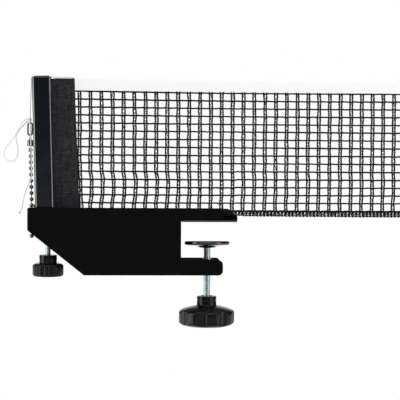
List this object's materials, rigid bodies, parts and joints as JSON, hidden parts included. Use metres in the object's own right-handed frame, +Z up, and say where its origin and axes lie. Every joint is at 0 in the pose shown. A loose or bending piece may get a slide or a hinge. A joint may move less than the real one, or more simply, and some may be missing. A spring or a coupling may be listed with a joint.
{
  "type": "table tennis net clamp",
  "caption": "Table tennis net clamp: steel jaw bracket with a clamping screw, height-adjusted net post, ball-chain cord tensioner and a stretch of net.",
  "frame": {"origin": "the table's edge at playing height, half way across the bracket's depth", "axes": "+X from the edge inwards over the table, along the net; +Z up; +Y along the table edge, away from the viewer"},
  "size_m": [0.4428, 0.06, 0.2679],
  "materials": {
    "bracket_paint": "satin black powder coat",
    "post_paint": "satin blue-black paint",
    "pad_grey": "matt",
    "pad_black": "matt",
    "zinc": "bright zinc plated",
    "plate_paint": "glossy dark paint",
    "black_plastic": "fine-grained",
    "cap_plastic": "satin",
    "guide_plastic": "satin, natural dark grey",
    "nickel": "nickel plated",
    "cord_white": "braided nylon, slightly translucent",
    "net_yarn": "twisted polyester yarn",
    "band_weave": "woven webbing",
    "tape_white": "woven cotton tape",
    "rod_plastic": "fibreglass rod"
  },
  "bodies": {
    "bracket": {"side_shell": "bracket_paint", "jaw_liner": "bracket_paint", "rest_pad": "pad_grey", "clamp_nut": "zinc", "lift_bridge": "bracket_paint", "lift_nut": "zinc", "post_guide_front": "guide_plastic", "post_guide_rear": "guide_plastic"},
    "clamp_slider": {"swivel_washer": "zinc"},
    "clamp_spindle": {"clamp_screw": "zinc", "clamp_knob": "black_plastic", "knob_insert": "zinc"},
    "pressure_plate": {"pressure_plate": "plate_paint", "plate_pad": "pad_black"},
    "post": {"post_tube": "post_paint", "post_cap": "cap_plastic", "post_foot": "guide_plastic", "chain_catch": "post_paint", "catch_rivets": "zinc", "tension_cord": "cord_white", "cord_knot": "cord_white", "cord_ring": "nickel", "chain_clasp": "nickel", "chain_taut": "nickel", "bow_loop": "cord_white", "cord_tail": "cord_white", "tail_knot": "cord_white", "net_mesh": "net_yarn", "top_tape": "tape_white", "side_band": "band_weave", "net_hem": "net_yarn", "keeper_rod": "rod_plastic", "end_binding": "band_weave"},
    "lift_spindle": {"lift_screw": "zinc", "lift_knob": "black_plastic", "lift_insert": "zinc", "lift_clip": "zinc"},
    "chain_tail": {"chain_tail": "nickel"}
  },
  "joints": [
    {"name": "clamp_travel", "type": "slide", "parent": "bracket", "child": "clamp_slider", "axis": [0, 0, 1], "range_m": [-0.00875, 0.01875]},
    {"name": "clamp_screw_turn", "type": "hinge", "parent": "clamp_slider", "child": "clamp_spindle", "pos_m": [0.0293, 0, -0.06], "axis": [0, 0, 1], "range_deg": [-2520, 5400]},
    {"name": "plate_tilt", "type": "hinge", "parent": "clamp_slider", "child": "pressure_plate", "pos_m": [0.0293, 0, -0.0274], "axis": [1, 0, 0], "range_deg": [-1.5, 10.5]},
    {"name": "post_lift", "type": "slide", "parent": "bracket", "child": "post", "axis": [0, 0, 1], "range_m": [-0.002, 0.006]},
    {"name": "lift_screw_turn", "type": "hinge", "parent": "post", "child": "lift_spindle", "pos_m": [-0.1412, 0, -0.03], "axis": [0, 0, 1], "range_deg": [-720, 2160]},
    {"name": "chain_tail_swing", "type": "hinge", "parent": "post", "child": "chain_tail", "pos_m": [-0.15884, 0, 0.00895], "axis": [1, 0, 0], "range_deg": [-20, 20]}
  ],
  "couplings": [
    {"joint": "clamp_screw_turn", "follows": "clamp_travel", "rad_per_m": 5026.5},
    {"joint": "lift_screw_turn", "follows": "post_lift", "rad_per_m": 6283.2}
  ]
}
